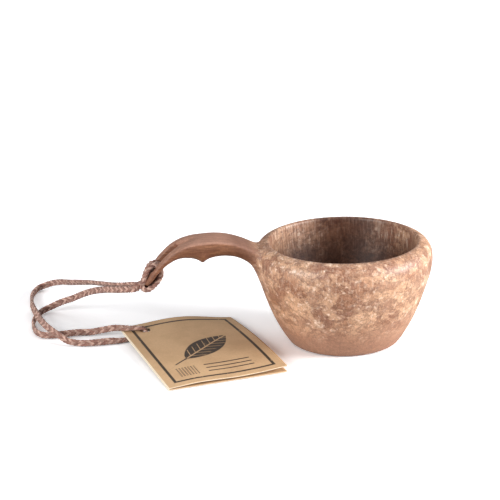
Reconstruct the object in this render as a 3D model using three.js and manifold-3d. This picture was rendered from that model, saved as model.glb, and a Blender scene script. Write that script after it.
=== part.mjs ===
// Kuksa drinking cup with a wrist lanyard and a folded card tag.
// Millimetres, +Z up. The origin is the centre of the cup's flat base, the handle points to -X.
import * as THREE from 'three';
import { mergeVertices } from 'three/addons/utils/BufferGeometryUtils.js';
import Module from 'manifold-3d';

// ---- driving dimensions --------------------------------------------------------------------

const BODY_RADIUS = 48.5;          // widest point of the bowl
const CUP_HEIGHT = 57.2;           // table to rim crest
const BASE_RADIUS = 28;            // flat face that the cup rests on
const MOUTH_RADIUS = 40.4;         // inner edge of the rim
const FLOOR_THICKNESS = 6;
const BOWL_SEGMENTS = 72;
const OUTER_STEPS = 16;
const INNER_STEPS = 13;

const HANDLE_HALF_WIDTH = 10.5;    // at the top of the arch
const HANDLE_STEPS = 38;
const SECTION_SIDES = 20;
const EDGE_LEVEL = 0.78;           // height of the section's side edges, from 0 (under) to 1 (top)
const SECTION_POWER = 2.3;         // 2 is an ellipse, more is squarer
const NOTCH_REACH = 77.3;          // finger notch: its point, measured out from the bowl's axis
const NOTCH_DEPTH = 3.6;
const NOTCH_SPREAD = 3.2;

const SLOT_WIDTH = 8.6;            // eyelet in the handle's tail
const SLOT_LENGTH = 18.2;
const SLOT_CORNER = 2;
const SLOT_CENTRE = { reach: 97.5, height: 51 };
const SLOT_TILT = THREE.MathUtils.degToRad(49.5);   // slope of the tail, down from level

const LACE = 2.6;                  // diameter of a round cord as stiff as the flat lace
const LACE_SIDES = 8;
const HITCH_DEPTH = 6.8;           // two widths of lace side by side in the slot

const LEAF = { width: 66, length: 88.5, thickness: 0.5 };
const TAG_HOLE = { fromFold: 12.5, fromTop: 10, diameter: 5 };
const TAG_HOLE_PLACE = { x: -108.7, y: 15.5, z: 3 };   // underside of the back leaf at the hole
const TAG_TURN = THREE.MathUtils.degToRad(14.8);
const TAG_SLOPE = THREE.MathUtils.degToRad(2.08);      // the far end rests on the table
const LEAF_GAP = 0.3;

// ---- materials -----------------------------------------------------------------------------

const material = (color, roughness) => new THREE.MeshStandardMaterial({ color, roughness, metalness: 0 });
const WOOD = material('#b98762', 0.45);
const LACE_BROWN = material('#8a5f52', 0.85);
const CARD = material('#b9935f', 0.8);

// ---- solids --------------------------------------------------------------------------------

const wasm = await Module();
wasm.setup();

function toSolid(geometry) {
  const bare = geometry.clone();
  bare.deleteAttribute('normal');
  bare.deleteAttribute('uv');
  const merged = mergeVertices(bare, 1e-4);
  return new wasm.Manifold(new wasm.Mesh({
    numProp: 3,
    vertProperties: new Float32Array(merged.attributes.position.array),
    triVerts: new Uint32Array(merged.index.array),
  }));
}

function toGeometry(solid) {
  const mesh = solid.getMesh();
  const geometry = new THREE.BufferGeometry();
  geometry.setAttribute('position', new THREE.BufferAttribute(new Float32Array(mesh.vertProperties), 3));
  geometry.setIndex(new THREE.BufferAttribute(new Uint32Array(mesh.triVerts), 1));
  geometry.computeVertexNormals();
  return geometry;
}

const points2 = (pairs) => pairs.map(([x, y]) => new THREE.Vector2(x, y));
const points3 = (triples) => triples.map(([x, y, z]) => new THREE.Vector3(x, y, z));
const smooth2 = (pairs, steps) => new THREE.SplineCurve(points2(pairs)).getPoints(steps);

// ---- bowl ----------------------------------------------------------------------------------

// Half outlines in (radius, height), from the table up and from the rim down.
const outerOutline = smooth2([
  [31, 1.9], [33.5, 5.6], [37.4, 12.5], [41.5, 21.8], [44.9, 31.5],
  [47.5, 40], [BODY_RADIUS, 46.8], [47.9, 52], [45.3, 55.6], [41.8, CUP_HEIGHT],
], OUTER_STEPS);
const innerOutline = smooth2([
  [MOUTH_RADIUS, CUP_HEIGHT - 1], [40.1, 50], [39.4, 42], [37.9, 34], [35.5, 26],
  [31.8, 18.5], [26, 12.2], [17.5, 8.2], [8, FLOOR_THICKNESS + 0.3],
], INNER_STEPS);

function bowlGeometry() {
  const profile = [
    new THREE.Vector2(0, 0),
    new THREE.Vector2(BASE_RADIUS, 0),
    new THREE.Vector2(BASE_RADIUS + 1.8, 0.6),
    ...outerOutline,
    ...innerOutline,
    new THREE.Vector2(0, FLOOR_THICKNESS),
  ];
  return new THREE.LatheGeometry(profile, BOWL_SEGMENTS).rotateX(Math.PI / 2);
}

// The drink's space, carried on upwards: what the handle's root must not fill.
function cavityGeometry() {
  const above = CUP_HEIGHT + 20;
  const profile = [
    new THREE.Vector2(0, FLOOR_THICKNESS),
    ...innerOutline.slice().reverse(),
    new THREE.Vector2(MOUTH_RADIUS + 0.6, CUP_HEIGHT - 0.4),
    new THREE.Vector2(MOUTH_RADIUS + 0.6, above),
    new THREE.Vector2(0, above),
  ];
  return new THREE.LatheGeometry(profile, BOWL_SEGMENTS).rotateX(Math.PI / 2);
}

// ---- handle --------------------------------------------------------------------------------

// Side view of the handle as stations: the top point, the point under it, and half the width
// there. Reach is measured out from the bowl's axis.
const HANDLE_STATIONS = [
  { top: [37, 50], under: [37, 17], half: 15 },
  { top: [42.5, 54.4], under: [41.6, 24.5], half: 14.2 },
  { top: [46, 55.2], under: [44.2, 34], half: 12.6 },
  { top: [50, 56.2], under: [47.6, 41.6], half: 11.5 },
  { top: [54.5, 58.4], under: [52.5, 47.4], half: 10.9 },
  { top: [60, 60.9], under: [58.5, 50.8], half: 10.6 },
  { top: [66, 62.3], under: [65, 52], half: HANDLE_HALF_WIDTH },
  { top: [72.5, 62.8], under: [72, 51.9], half: HANDLE_HALF_WIDTH },
  { top: [79.3, 62.5], under: [79.3, 51.8], half: HANDLE_HALF_WIDTH },
  { top: [85, 61.4], under: [85, 52], half: HANDLE_HALF_WIDTH },
  { top: [90, 59.6], under: [88.8, 51.9], half: 10.4 },
  { top: [94.2, 57.1], under: [92.2, 51], half: 10.2 },
  { top: [98, 53.7], under: [95.9, 49], half: 10 },
  { top: [101.4, 50.1], under: [98.9, 46.7], half: 9.6 },
  { top: [104.4, 46.1], under: [101.6, 43.6], half: 8.8 },
  { top: [107, 41.9], under: [104.2, 40.1], half: 7.4 },
  { top: [108.9, 38.5], under: [106.6, 37.3], half: 5 },
];

const along = (key) => new THREE.SplineCurve(HANDLE_STATIONS.map(key));
const topLine = along((station) => new THREE.Vector2(...station.top));
const underLine = along((station) => new THREE.Vector2(...station.under));
const halfLine = along((station) => new THREE.Vector2(station.half, 0));

const roundPower = (value) => Math.sign(value) * Math.abs(value) ** (2 / SECTION_POWER);

function handleRing(share) {
  const top = topLine.getPoint(share);
  const under = underLine.getPoint(share);
  const half = halfLine.getPoint(share).x;
  under.y -= NOTCH_DEPTH * Math.exp(-Math.abs(under.x - NOTCH_REACH) / NOTCH_SPREAD);
  const edge = under.clone().lerp(top, EDGE_LEVEL);
  const ring = [];
  for (let side = 0; side < SECTION_SIDES; side++) {
    const angle = (side / SECTION_SIDES) * 2 * Math.PI;
    const lift = roundPower(Math.sin(angle));
    const place = edge.clone().lerp(lift > 0 ? top : under, Math.abs(lift));
    ring.push(new THREE.Vector3(-place.x, half * roundPower(Math.cos(angle)), place.y));
  }
  return ring;
}

function handleGeometry() {
  const rings = [];
  for (let step = 0; step <= HANDLE_STEPS; step++) {
    rings.push(handleRing(step / HANDLE_STEPS));
  }
  const tip = new THREE.Vector3(-108.6, 0, 36.7);
  const root = rings[0].reduce((sum, point) => sum.add(point), new THREE.Vector3())
    .divideScalar(SECTION_SIDES);
  const positions = [...rings.flat(), root, tip].flatMap((point) => point.toArray());
  const rootIndex = rings.length * SECTION_SIDES;
  const tipIndex = rootIndex + 1;
  const last = HANDLE_STEPS * SECTION_SIDES;
  const index = [];
  for (let side = 0; side < SECTION_SIDES; side++) {
    const next = (side + 1) % SECTION_SIDES;
    for (let step = 0; step < HANDLE_STEPS; step++) {
      const a = step * SECTION_SIDES;
      const b = a + SECTION_SIDES;
      index.push(a + side, b + side, a + next, a + next, b + side, b + next);
    }
    index.push(rootIndex, side, next);
    index.push(tipIndex, last + next, last + side);
  }
  const geometry = new THREE.BufferGeometry();
  geometry.setAttribute('position', new THREE.Float32BufferAttribute(positions, 3));
  geometry.setIndex(index);
  return geometry;
}

function slotGeometry() {
  const w = SLOT_WIDTH / 2;
  const l = SLOT_LENGTH / 2;
  const r = SLOT_CORNER;
  const outline = new THREE.Shape();
  outline.moveTo(-l + r, -w);
  outline.lineTo(l - r, -w);
  outline.absarc(l - r, -w + r, r, -Math.PI / 2, 0);
  outline.lineTo(l, w - r);
  outline.absarc(l - r, w - r, r, 0, Math.PI / 2);
  outline.lineTo(-l + r, w);
  outline.absarc(-l + r, w - r, r, Math.PI / 2, Math.PI);
  outline.lineTo(-l, -w + r);
  outline.absarc(-l + r, -w + r, r, Math.PI, 1.5 * Math.PI);
  const depth = 24;
  return new THREE.ExtrudeGeometry(outline, { depth, bevelEnabled: false, curveSegments: 4 })
    .translate(0, 0, -depth / 2)
    .rotateY(-SLOT_TILT)
    .translate(-SLOT_CENTRE.reach, 0, SLOT_CENTRE.height);
}

function cupGeometry() {
  const handle = toSolid(handleGeometry()).subtract(toSolid(cavityGeometry()));
  return toGeometry(toSolid(bowlGeometry()).add(handle).subtract(toSolid(slotGeometry())));
}

// ---- lanyard -------------------------------------------------------------------------------

// Cow hitch round the end bar of the eyelet: outer and inner outlines in (reach, height).
const HITCH_OUTER = [
  [101.3, 50.6], [103.9, 50.9], [106.5, 49.8], [108.6, 47.2], [109.9, 44], [110.9, 40.5],
  [111, 36.8], [110, 33.7], [107.9, 32.9], [105, 34.9], [102, 36.4], [99.6, 39.8],
  [98.2, 43.4], [98.3, 46.6],
];
const HITCH_INNER = [
  [102.9, 45.3], [101, 43], [103.4, 39.7], [105.7, 36.7], [107.4, 35.7], [109.3, 36],
  [109.6, 38.7], [107.7, 42.6], [105.3, 46.6],
];

function hitchGeometry() {
  const side = new THREE.Shape(points2(HITCH_OUTER));
  side.holes.push(new THREE.Path(points2(HITCH_INNER)));
  return new THREE.ExtrudeGeometry(side, { depth: HITCH_DEPTH, bevelEnabled: false })
    .translate(0, 0, -HITCH_DEPTH / 2)
    .applyMatrix4(new THREE.Matrix4().set(-1, 0, 0, 0, 0, 0, 1, 0, 0, 1, 0, 0, 0, 0, 0, 1));
}

function laceGeometry(route, steps) {
  const section = new THREE.Shape();
  section.absarc(0, 0, LACE / 2, 0, 2 * Math.PI);
  const path = new THREE.CatmullRomCurve3(points3(route), false, 'centripetal');
  return new THREE.ExtrudeGeometry(section, {
    steps,
    bevelEnabled: false,
    extrudePath: path,
    curveSegments: LACE_SIDES,
  });
}

// From the hitch back and down to the table, round to the left and under the tag.
const REAR_STRAND = [
  [-113.3, 1.9, 37], [-115.3, 5.6, 35.8], [-119.6, 12.5, 33.2], [-125.6, 23, 29.8],
  [-132, 38.5, 25.6], [-138.3, 54.8, 21], [-144.2, 70.5, 16], [-150.4, 86, 11], [-156.6, 98.5, 6.4],
  [-162.8, 105.8, 3], [-168.2, 105.2, 1.4], [-171.9, 96, 1.4], [-172.9, 80, 1.9],
  [-171.9, 63, 3.4], [-169.4, 48, 4.3], [-166, 34, 4.3], [-162.3, 23.5, 4.3], [-158, 16, 3.6],
  [-152.4, 11, 1.9], [-146, 8, 1.35], [-138.5, 7.4, 1.35], [-130, 8.8, 1.35], [-122, 11, 1.35],
  [-115, 13.7, 1.35],
];
// Up through the hole in the tag and back over its corner.
const TAG_BIGHT = [
  [-114.6, 13.8, 1.35], [-112.6, 14.4, 1.35], [-110.7, 15, 1.5], [-109.2, 15.4, 2.4],
  [-108.7, 15.5, 3.7], [-109.1, 15.5, 5], [-110.6, 15.5, 5.9], [-112.6, 15.6, 6.1],
  [-114.6, 15.7, 6.1],
];
// Over the corner of the tag, down to the table, round and back up to the hitch.
const FRONT_STRAND = [
  [-115, 15.7, 6.1], [-120, 16.4, 6.3], [-126, 18.3, 6.1], [-133, 21.6, 3.4], [-139.5, 24.2, 1.5],
  [-147, 24.9, 1.35], [-154, 23.8, 1.35], [-160.3, 22.6, 1.35], [-165.5, 23.4, 1.35],
  [-169.2, 28, 1.35], [-171.2, 36.5, 1.35], [-171.5, 46, 1.35], [-169.6, 56, 1.35],
  [-166.5, 63, 1.5], [-161.5, 66.4, 2.6], [-156, 65.6, 5.2], [-149.5, 60.4, 9.8],
  [-143.2, 52.2, 15], [-136.8, 41, 20.6], [-130, 26.8, 26], [-123.6, 13.6, 30.6],
  [-118.2, 4.6, 33.6], [-114.8, 0, 35.2], [-113.3, -1.6, 35.7],
];

// ---- tag -----------------------------------------------------------------------------------

// Leaf coordinates: x from the fold, y up the page from its foot, z up from the leaf's underside.
// The heights are those of the sheet above the back leaf.
const FRONT_LEAF_WAVE = [[0, 0], [8, 0], [19, 0.1], [27, 1.2], [35, 2], [45, 2], [56, 2.6], [66, 3.8]];

function leafGeometry(wave) {
  const lower = wave.length > 2 ? smooth2(wave, 20) : points2(wave);
  const upper = lower.map((point) => new THREE.Vector2(point.x, point.y + LEAF.thickness));
  const sheet = new THREE.ExtrudeGeometry(new THREE.Shape([...lower, ...upper.reverse()]), {
    depth: LEAF.length,
    bevelEnabled: false,
  }).rotateX(Math.PI / 2).translate(0, LEAF.length, 0);
  const hole = new THREE.CylinderGeometry(TAG_HOLE.diameter / 2, TAG_HOLE.diameter / 2, 6, 16)
    .rotateX(Math.PI / 2)
    .translate(TAG_HOLE.fromFold, LEAF.length - TAG_HOLE.fromTop, 0);
  return toGeometry(toSolid(sheet).subtract(toSolid(hole)));
}

// ---- assembly ------------------------------------------------------------------------------

function mesh(name, geometry, finish) {
  const piece = new THREE.Mesh(geometry, finish);
  piece.name = name;
  return piece;
}

const kuksa = new THREE.Group();
kuksa.add(mesh('cup', cupGeometry(), WOOD));

const lanyard = new THREE.Group();
lanyard.add(
  mesh('cord_hitch', hitchGeometry(), LACE_BROWN),
  mesh('cord_rear_strand', laceGeometry(REAR_STRAND, 40), LACE_BROWN),
  mesh('cord_tag_bight', laceGeometry(TAG_BIGHT, 14), LACE_BROWN),
  mesh('cord_front_strand', laceGeometry(FRONT_STRAND, 30), LACE_BROWN),
);
kuksa.add(lanyard);

// The tag's frame: its origin is the underside of the back leaf at the hole, +X away from the
// fold and +Y up the page.
const tag = new THREE.Group();
tag.position.set(TAG_HOLE_PLACE.x, TAG_HOLE_PLACE.y, TAG_HOLE_PLACE.z);
tag.rotation.set(TAG_SLOPE, 0, TAG_TURN, 'ZXY');
const backLeaf = mesh('tag_back_leaf', leafGeometry([[0, 0], [LEAF.width, 0]]), CARD);
const frontLeaf = mesh('tag_front_leaf', leafGeometry(FRONT_LEAF_WAVE), CARD);
for (const leaf of [backLeaf, frontLeaf]) {
  leaf.position.set(-TAG_HOLE.fromFold, TAG_HOLE.fromTop - LEAF.length, 0);
}
frontLeaf.position.z = LEAF.thickness + LEAF_GAP;
tag.add(backLeaf, frontLeaf);
kuksa.add(tag);

export default kuksa;
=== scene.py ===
"""Kuksa drinking cup with a wrist lanyard and a folded card tag.

Metres, in the frame of the CAD model: the origin is the centre of the cup's flat base, +Z is up
and the handle points to -X.
"""
import logging
import math
from collections.abc import Iterable, Sequence
from dataclasses import dataclass
from enum import Enum

import bmesh
import bpy
import numpy as np
from mathutils import Matrix, Vector
from mathutils.bvhtree import BVHTree


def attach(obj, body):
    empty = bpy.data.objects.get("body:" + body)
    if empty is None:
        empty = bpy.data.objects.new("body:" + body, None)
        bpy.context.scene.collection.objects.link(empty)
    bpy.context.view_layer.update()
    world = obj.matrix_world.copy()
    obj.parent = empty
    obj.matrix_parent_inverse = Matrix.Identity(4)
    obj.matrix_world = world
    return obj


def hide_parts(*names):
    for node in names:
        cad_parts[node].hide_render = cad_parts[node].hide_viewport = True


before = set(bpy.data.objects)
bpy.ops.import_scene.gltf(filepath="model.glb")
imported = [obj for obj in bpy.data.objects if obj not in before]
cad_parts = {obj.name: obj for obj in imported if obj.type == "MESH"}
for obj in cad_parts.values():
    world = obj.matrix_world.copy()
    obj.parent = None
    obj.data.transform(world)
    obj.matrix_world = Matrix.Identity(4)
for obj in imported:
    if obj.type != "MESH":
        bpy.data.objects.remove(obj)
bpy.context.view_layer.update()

LOG = logging.getLogger("kuksa")
MM = 0.001
Array = np.ndarray
Colour = tuple[float, float, float, float]


class Slot(Enum):
    """Names of three material slots, which the rest of the script does not use."""

    WOOD = "wood"
    LACE = "lace"
    CARD = "card"


class Body(Enum):
    """The CAD bodies that the pieces ride on."""

    CUP = "cup"
    LANYARD = "lanyard"
    TAG = "tag"


# ---- lines and meshes ----------------------------------------------------------------------


def paint(red: int, green: int, blue: int) -> Colour:
    """Colour as it looks, 0 to 255 a channel, turned into the linear colour of a shader.

    Args:
        red: Red, 0 to 255.
        green: Green, 0 to 255.
        blue: Blue, 0 to 255.

    Returns:
        Linear red, green, blue and an alpha of 1.
    """
    channels = [value / 255 for value in (red, green, blue)]
    linear = [c / 12.92 if c <= 0.04045 else ((c + 0.055) / 1.055) ** 2.4 for c in channels]
    return (*linear, 1.0)


def smooth_line(knots: Sequence[Sequence[float]], step: float, space: int = 3) -> Array:
    """Smooth line through knots, with even steps along it.

    Args:
        knots: Points, with any further values that are carried along after the coordinates.
        step: Distance between the points of the result.
        space: How many of the columns are coordinates.

    Returns:
        One row for each point of the line, with as many columns as the knots have.
    """
    rows = np.asarray(knots, float)
    chords = np.linalg.norm(np.diff(rows[:, :space], axis=0), axis=1)
    marks = np.concatenate([[0.0], np.cumsum(chords)])
    slopes = np.diff(rows, axis=0) / chords[:, None]
    tangents = np.empty_like(rows)
    tangents[0], tangents[-1] = slopes[0], slopes[-1]
    before, after = chords[:-1, None], chords[1:, None]
    tangents[1:-1] = (slopes[:-1] * after + slopes[1:] * before) / (before + after)
    fine = np.linspace(0.0, marks[-1], max(8, round(8 * marks[-1] / step)))
    at = np.clip(np.searchsorted(marks, fine, side="right") - 1, 0, len(chords) - 1)
    share = ((fine - marks[at]) / chords[at])[:, None]
    width = chords[at][:, None]
    curve = (
        (2 * share**3 - 3 * share**2 + 1) * rows[at]
        + (share**3 - 2 * share**2 + share) * width * tangents[at]
        + (3 * share**2 - 2 * share**3) * rows[at + 1]
        + (share**3 - share**2) * width * tangents[at + 1]
    )
    lengths = np.linalg.norm(np.diff(curve[:, :space], axis=0), axis=1)
    run = np.concatenate([[0.0], np.cumsum(lengths)])
    even = np.linspace(0.0, run[-1], max(2, round(run[-1] / step) + 1))
    return np.stack([np.interp(even, run, column) for column in curve.T], axis=1)


def shade_smooth(mesh: bpy.types.Mesh) -> None:
    """Makes every face of a mesh smooth."""
    mesh.polygons.foreach_set("use_smooth", np.ones(len(mesh.polygons), bool))


def make_mesh(
    name: str, points: Iterable, faces: Iterable, edges: Iterable = ()
) -> bpy.types.Mesh:
    """Plain mesh with smooth faces.

    Args:
        name: Name of the mesh.
        points: Vertex places in metres.
        faces: Vertex indices of each face.
        edges: Vertex indices of each loose edge.

    Returns:
        The mesh.
    """
    mesh = bpy.data.meshes.new(name)
    mesh.from_pydata([tuple(p) for p in points], list(edges), [tuple(f) for f in faces])
    shade_smooth(mesh)
    mesh.update()
    return mesh


def make_object(name: str, mesh: bpy.types.Mesh) -> bpy.types.Object:
    """Object in the scene, at the origin, that shows a mesh."""
    made = bpy.data.objects.new(name, mesh)
    bpy.context.scene.collection.objects.link(made)
    return made


def frozen(source: bpy.types.Object, name: str) -> bpy.types.Mesh:
    """Plain mesh of an object with its modifiers applied; the object itself is removed.

    Args:
        source: Object with live modifiers.
        name: Name of the new mesh.

    Returns:
        The evaluated mesh.
    """
    graph = bpy.context.evaluated_depsgraph_get()
    mesh = bpy.data.meshes.new_from_object(source.evaluated_get(graph), depsgraph=graph)
    mesh.name = name
    bpy.data.objects.remove(source)
    return mesh


def set_values(mesh: bpy.types.Mesh, name: str, values: Array) -> None:
    """Stores one number, or one vector, for each vertex under a name.

    Args:
        mesh: Mesh that gets the attribute.
        name: Name of the attribute.
        values: A column of numbers, or rows of three.
    """
    kind, field = ("FLOAT", "value") if values.ndim == 1 else ("FLOAT_VECTOR", "vector")
    layer = mesh.attributes.new(name, kind, "POINT")
    layer.data.foreach_set(field, values.astype(np.float32).ravel())


def vertex_places(mesh: bpy.types.Mesh) -> Array:
    """Vertex places of a mesh as rows of three."""
    places = np.empty(len(mesh.vertices) * 3, np.float32)
    mesh.vertices.foreach_get("co", places)
    return places.reshape(-1, 3).astype(float)


# ---- solids as distance fields -------------------------------------------------------------


@dataclass
class Field:
    """Distances from a solid's surface, below 0 inside, and the directions in which they grow."""

    distance: Array
    direction: Array

    def joined(self, other: "Field", soft: float) -> "Field":
        """Union with another solid, with a soft fillet between the two.

        Args:
            other: The other solid's field, at the same points.
            soft: Reach of the fillet in metres.

        Returns:
            The field of the union.
        """
        share = np.clip(0.5 + 0.5 * (self.distance - other.distance) / soft, 0.0, 1.0)
        distance = self.distance * (1 - share) + other.distance * share
        distance = distance - soft * share * (1 - share)
        direction = self.direction * (1 - share)[:, None] + other.direction * share[:, None]
        return Field(distance, direction)

    def cut_by(self, other: "Field", soft: float) -> "Field":
        """What is left when another solid is taken away, with a rounded edge.

        Args:
            other: The field of the solid that is taken away, at the same points.
            soft: Reach of the rounding in metres.

        Returns:
            The field of what is left.
        """
        left = Field(-self.distance, -self.direction).joined(other, soft)
        return Field(-left.distance, -left.direction)


def turned_field(points: Array, outline: Array) -> Field:
    """Field of a solid that is turned about Z.

    Args:
        points: Places in metres.
        outline: Closed outline in (radius, height).

    Returns:
        The field at the points.
    """
    radius = np.hypot(points[:, 0], points[:, 1])
    flat = np.stack([radius, points[:, 2]], axis=1)
    best = np.full(len(flat), np.inf)
    nearest = np.zeros_like(flat)
    inside = np.zeros(len(flat), bool)
    for start, end in zip(outline, np.roll(outline, -1, axis=0)):
        if start[0] == 0 and end[0] == 0:
            continue
        side = end - start
        share = np.clip((flat - start) @ side / (side @ side), 0.0, 1.0)
        place = start + share[:, None] * side
        gap = ((flat - place) ** 2).sum(axis=1)
        closer = gap < best
        best[closer] = gap[closer]
        nearest[closer] = place[closer]
        if start[1] != end[1]:
            crossed = (start[1] > flat[:, 1]) != (end[1] > flat[:, 1])
            cross = start[0] + (flat[:, 1] - start[1]) / (end[1] - start[1]) * side[0]
            inside ^= crossed & (flat[:, 0] < cross)
    distance = np.sqrt(best)
    away = (flat - nearest) / np.maximum(distance, 1e-9)[:, None]
    sign = np.where(inside, -1.0, 1.0)
    away *= sign[:, None]
    around = points[:, :2] / np.maximum(radius, 1e-9)[:, None]
    direction = np.concatenate([around * away[:, :1], away[:, 1:]], axis=1)
    return Field(distance * sign, direction)


def mesh_field(points: Array, tree: BVHTree, near: Array, deepest: float) -> Field:
    """Field of a closed mesh, looked up only where it matters.

    Args:
        points: Places in metres.
        tree: Search tree of the mesh.
        near: Which points to look up.
        deepest: How far a point can be inside the mesh.

    Returns:
        The field at the points.
    """
    distance = np.full(len(points), 3 * deepest)
    direction = np.zeros_like(points)
    for index in np.flatnonzero(near):
        place = Vector(points[index])
        found, normal, _, gap = tree.find_nearest(place)
        away = place - found
        sign = 1.0 if away.dot(normal) >= 0 or gap > deepest else -1.0
        distance[index] = gap * sign
        direction[index] = away / gap * sign if gap > 1e-7 else normal
    return Field(distance, direction)


def rod_field(points: Array, start: Array, end: Array, radii: tuple[float, float]) -> Field:
    """Field of a round-ended rod that may taper.

    Args:
        points: Places in metres.
        start: Centre of the first end.
        end: Centre of the second end.
        radii: Radius at each end.

    Returns:
        The field at the points.
    """
    side = end - start
    share = np.clip((points - start) @ side / (side @ side), 0.0, 1.0)
    away = points - start - share[:, None] * side
    gap = np.linalg.norm(away, axis=1)
    radius = radii[0] + (radii[1] - radii[0]) * share
    return Field(gap - radius, away / np.maximum(gap, 1e-9)[:, None])


# ---- node trees ----------------------------------------------------------------------------


class Graph:
    """Adds nodes to a tree and links them."""

    def __init__(self, tree: bpy.types.NodeTree) -> None:
        """Works on one node tree."""
        self.tree = tree

    def feed(self, socket: bpy.types.NodeSocket, value: object) -> None:
        """Links a signal or socket to an input, or sets the input's own value."""
        source = value.socket if isinstance(value, Signal) else value
        if isinstance(source, bpy.types.NodeSocket):
            self.tree.links.new(source, socket)
        else:
            socket.default_value = source

    def node(self, kind: str, inputs: dict | None = None, **settings: object) -> bpy.types.Node:
        """Adds a node.

        Args:
            kind: Blender's name for the node.
            inputs: Values, sockets or signals by input name or number.
            **settings: The node's own properties.

        Returns:
            The node.
        """
        made = self.tree.nodes.new(kind)
        for name, value in settings.items():
            setattr(made, name, value)
        self.fill(made, inputs or {})
        return made

    def fill(self, node: bpy.types.Node, inputs: dict) -> None:
        """Feeds inputs of a node, by name or number."""
        for key, value in inputs.items():
            self.feed(node.inputs[key], value)

    def signal(
        self, kind: str, inputs: dict | None = None, output: int | str = 0, **settings: object
    ) -> "Signal":
        """Adds a node and gives one of its outputs as a signal.

        Args:
            kind: Blender's name for the node.
            inputs: Values, sockets or signals by input name or number.
            output: Which output to take.
            **settings: The node's own properties.

        Returns:
            The output as a signal.
        """
        return Signal(self, self.node(kind, inputs, **settings).outputs[output])

    def mixed(self, share: object, first: object, second: object, mode: str = "MIX") -> "Signal":
        """Mixes two colours.

        Args:
            share: How much of the second, from 0 to 1.
            first: The first colour.
            second: The second colour.
            mode: Blender's name for the way they mix.

        Returns:
            The mixed colour.
        """
        inputs = {0: share, 6: first, 7: second}
        return self.signal("ShaderNodeMix", inputs, 2, data_type="RGBA", blend_type=mode)

    def toned(self, colour: object, tone: object) -> "Signal":
        """Colour times a number."""
        return self.mixed(1.0, colour, self.vector(tone, tone, tone), "MULTIPLY")

    def noise(
        self,
        vector: object,
        scale: object,
        detail: float = 3.0,
        rough: float = 0.5,
        output: int | str = 0,
    ) -> "Signal":
        """Noise from 0 to 1 at a vector.

        Args:
            vector: Where to read the noise.
            scale: How many features there are to a unit.
            detail: Octaves.
            rough: Strength of the finer octaves.
            output: Which output to take, the value or the colour.

        Returns:
            The noise.
        """
        inputs = {"Vector": vector, "Scale": scale, "Detail": detail, "Roughness": rough}
        return self.signal("ShaderNodeTexNoise", inputs, output)

    def bump(self, height: "Signal", strength: float, distance: float) -> "Signal":
        """Normal that follows a height."""
        inputs = {"Height": height, "Strength": strength, "Distance": distance}
        return self.signal("ShaderNodeBump", inputs)

    def vector_math(self, operation: str, *vectors: object) -> "Signal":
        """Adds a Vector Math node with vectors as its inputs."""
        return self.signal("ShaderNodeVectorMath", dict(enumerate(vectors)), operation=operation)

    def scaled(self, vector: object, factor: object) -> "Signal":
        """Vector times a number."""
        inputs = {0: vector, "Scale": factor}
        return self.signal("ShaderNodeVectorMath", inputs, operation="SCALE")

    def stretched(
        self, vector: object, scale: Sequence[float], offset: Sequence[float] = (0, 0, 0)
    ) -> "Signal":
        """Scales and moves a vector.

        Args:
            vector: The vector.
            scale: Factor along each axis.
            offset: What is added after scaling.

        Returns:
            The new vector.
        """
        return self.vector_math("MULTIPLY_ADD", vector, tuple(scale), tuple(offset))

    def parts(self, vector: object) -> list["Signal"]:
        """X, Y and Z of a vector."""
        made = self.node("ShaderNodeSeparateXYZ", {0: vector})
        return [Signal(self, socket) for socket in made.outputs]

    def vector(self, x: object, y: object, z: object) -> "Signal":
        """Vector of three values."""
        return self.signal("ShaderNodeCombineXYZ", {0: x, 1: y, 2: z})

    def attribute(self, name: str) -> "Signal":
        """Number stored on the mesh under a name."""
        return self.signal("ShaderNodeAttribute", output="Fac", attribute_name=name)

    def placed(self) -> "Signal":
        """Object coordinates in metres."""
        return self.signal("ShaderNodeTexCoord", output="Object")

    def group(self, tree: bpy.types.NodeTree, inputs: dict) -> dict[str, "Signal"]:
        """Places a node group.

        Args:
            tree: The group.
            inputs: Values, sockets or signals by input name.

        Returns:
            The group's outputs by name.
        """
        made = self.node("ShaderNodeGroup", inputs, node_tree=tree)
        return {socket.name: Signal(self, socket) for socket in made.outputs}


class Signal:
    """A value in a node tree; arithmetic on it adds Math nodes."""

    def __init__(self, graph: Graph, socket: bpy.types.NodeSocket) -> None:
        """Wraps one output socket."""
        self.graph = graph
        self.socket = socket

    def math(self, operation: str, *others: object) -> "Signal":
        """Adds a Math node with this signal as its first input."""
        inputs = dict(enumerate((self, *others)))
        return self.graph.signal("ShaderNodeMath", inputs, operation=operation)

    def __add__(self, other: object) -> "Signal":
        """Sum."""
        return self.math("ADD", other)

    def __sub__(self, other: object) -> "Signal":
        """Difference."""
        return self.math("SUBTRACT", other)

    def __mul__(self, other: object) -> "Signal":
        """Product."""
        return self.math("MULTIPLY", other)

    def __truediv__(self, other: object) -> "Signal":
        """Quotient."""
        return self.math("DIVIDE", other)

    def __abs__(self) -> "Signal":
        """Size without sign."""
        return self.math("ABSOLUTE")

    def least(self, other: object) -> "Signal":
        """The smaller of two."""
        return self.math("MINIMUM", other)

    def most(self, other: object) -> "Signal":
        """The larger of two."""
        return self.math("MAXIMUM", other)

    def flipped(self) -> "Signal":
        """One less this signal."""
        return self * -1.0 + 1.0

    def step(self, low: object, high: object) -> "Signal":
        """Soft step from 0 at low to 1 at high, or the other way if low is above high."""
        inputs = {"Value": self, "From Min": low, "From Max": high}
        return self.graph.signal("ShaderNodeMapRange", inputs, interpolation_type="SMOOTHSTEP")


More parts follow.
